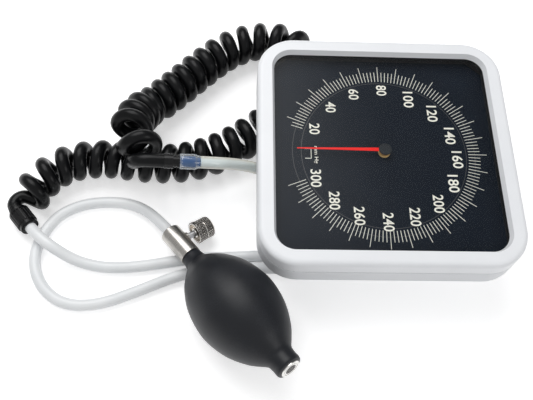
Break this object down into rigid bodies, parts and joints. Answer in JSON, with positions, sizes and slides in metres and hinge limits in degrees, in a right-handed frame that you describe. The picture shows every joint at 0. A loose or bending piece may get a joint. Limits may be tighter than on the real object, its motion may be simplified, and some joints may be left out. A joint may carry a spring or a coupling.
{
  "type": "aneroid sphygmomanometer",
  "caption": "Square wall-type aneroid blood pressure gauge lying on its back, with a coiled hose, a union nut, a grey bulb tube, a release valve and a rubber bulb.",
  "frame": {"origin": "middle of the flat back of the round rear boss, on the surface it lies on", "axes": "+Z out through the dial, +X towards the top of the dial, +Y towards the dial's left side"},
  "size_m": [0.3408, 0.2717, 0.0591],
  "materials": {
    "case_white": "satin",
    "lens": "clear, lightly scratched",
    "gasket": "matt",
    "dial": "satin dark blue-black",
    "steel": "brushed",
    "brass": "turned",
    "phosphor_bronze": "satin",
    "jewel": "polished",
    "pointer_red": "satin",
    "cap_dark": "satin",
    "nickel": "brushed nickel",
    "hose_black": "satin",
    "fitting_black": "matt",
    "barb_blue": "satin",
    "tube_clear": "clear, slightly cloudy",
    "tube_grey": "satin",
    "bulb_black": "matt"
  },
  "bodies": {
    "case": {"rear_case": "case_white", "front_bezel": "case_white", "lens": "lens", "lens_gasket": "gasket", "dial_plate": "dial", "case_screws": "steel", "mount_inserts": "brass", "tube_port": "brass", "port_nut": "brass", "inner_hose": "hose_black", "capsule_seat": "brass", "capsule": "phosphor_bronze", "rocker_brackets": "brass", "plate_pillars": "brass", "movement_plate": "brass", "bridge_plate": "brass", "bridge_pillars": "brass", "bridge_screws": "steel", "staff_jewels": "jewel", "hairspring": "phosphor_bronze", "hairspring_stud": "brass", "dial_bushing": "brass", "coil_hose": "hose_black", "union_body": "fitting_black", "hose_ferrule": "brass", "hose_end_neck": "fitting_black", "hose_barb": "barb_blue", "clear_tube": "tube_clear", "grey_tube": "tube_grey", "valve_body": "nickel", "valve_gland": "nickel", "outlet_flap": "hose_black", "bulb": "bulb_black", "inlet_valve_body": "nickel", "inlet_cage": "brass", "inlet_screen": "steel"},
    "pointer_assembly": {"pointer": "pointer_red", "pointer_hub": "brass", "pointer_cap": "cap_dark", "pointer_staff": "steel"},
    "sector": {"sector_gear": "brass", "sector_arbor": "steel"},
    "rocker": {"rocker_shaft": "steel"},
    "pin": {"push_pin": "steel"},
    "needle": {"valve_needle": "steel"},
    "knob": {"valve_knob": "nickel"},
    "ball": {"inlet_ball": "steel"},
    "nut": {"union_nut": "fitting_black"}
  },
  "joints": [
    {"name": "pointer_turn", "type": "hinge", "parent": "case", "child": "pointer_assembly", "pos_m": [0, 0, 0.0523], "axis": [0, 0, -1], "range_deg": [0, 340], "stiffness_Nm_per_rad": 0.0005},
    {"name": "sector_swing", "type": "hinge", "parent": "case", "child": "sector", "pos_m": [0.012, -0.01693, 0.0285], "axis": [0, 0, 1], "range_deg": [0, 26.59]},
    {"name": "rocker_swing", "type": "hinge", "parent": "case", "child": "rocker", "pos_m": [0.0102, 0, 0.02], "axis": [0, 1, 0], "range_deg": [0, 8.62]},
    {"name": "capsule_rise", "type": "slide", "parent": "case", "child": "pin", "axis": [0, 0, 1], "range_m": [0, 0.00151], "deforming": ["capsule"]},
    {"name": "valve_knob_turn", "type": "hinge", "parent": "needle", "child": "knob", "pos_m": [-0.13276, -0.05028, 0.01416], "axis": [0.7958, 0.5705, -0.203], "range_deg": [0, 540]},
    {"name": "needle_lift", "type": "slide", "parent": "case", "child": "needle", "axis": [0.7958, 0.5705, -0.203], "range_m": [0, 0.00121]},
    {"name": "inlet_ball_lift", "type": "slide", "parent": "case", "child": "ball", "axis": [-0.6047, 0.7663, -0.2171], "range_m": [0, 0.001]},
    {"name": "union_nut_turn", "type": "hinge", "parent": "case", "child": "nut", "pos_m": [-0.2359, -0.0333, 0.0085], "axis": [0.6314, -0.7545, 0.1791], "range_deg": [0, 360]}
  ],
  "couplings": [
    {"joint": "sector_swing", "follows": "pointer_turn", "ratio": 0.077922},
    {"joint": "rocker_swing", "follows": "pointer_turn", "ratio": 0.025294},
    {"joint": "capsule_rise", "follows": "pointer_turn", "m_per_rad": 0.00025278},
    {"joint": "needle_lift", "follows": "valve_knob_turn", "m_per_rad": 0.00012732}
  ]
}
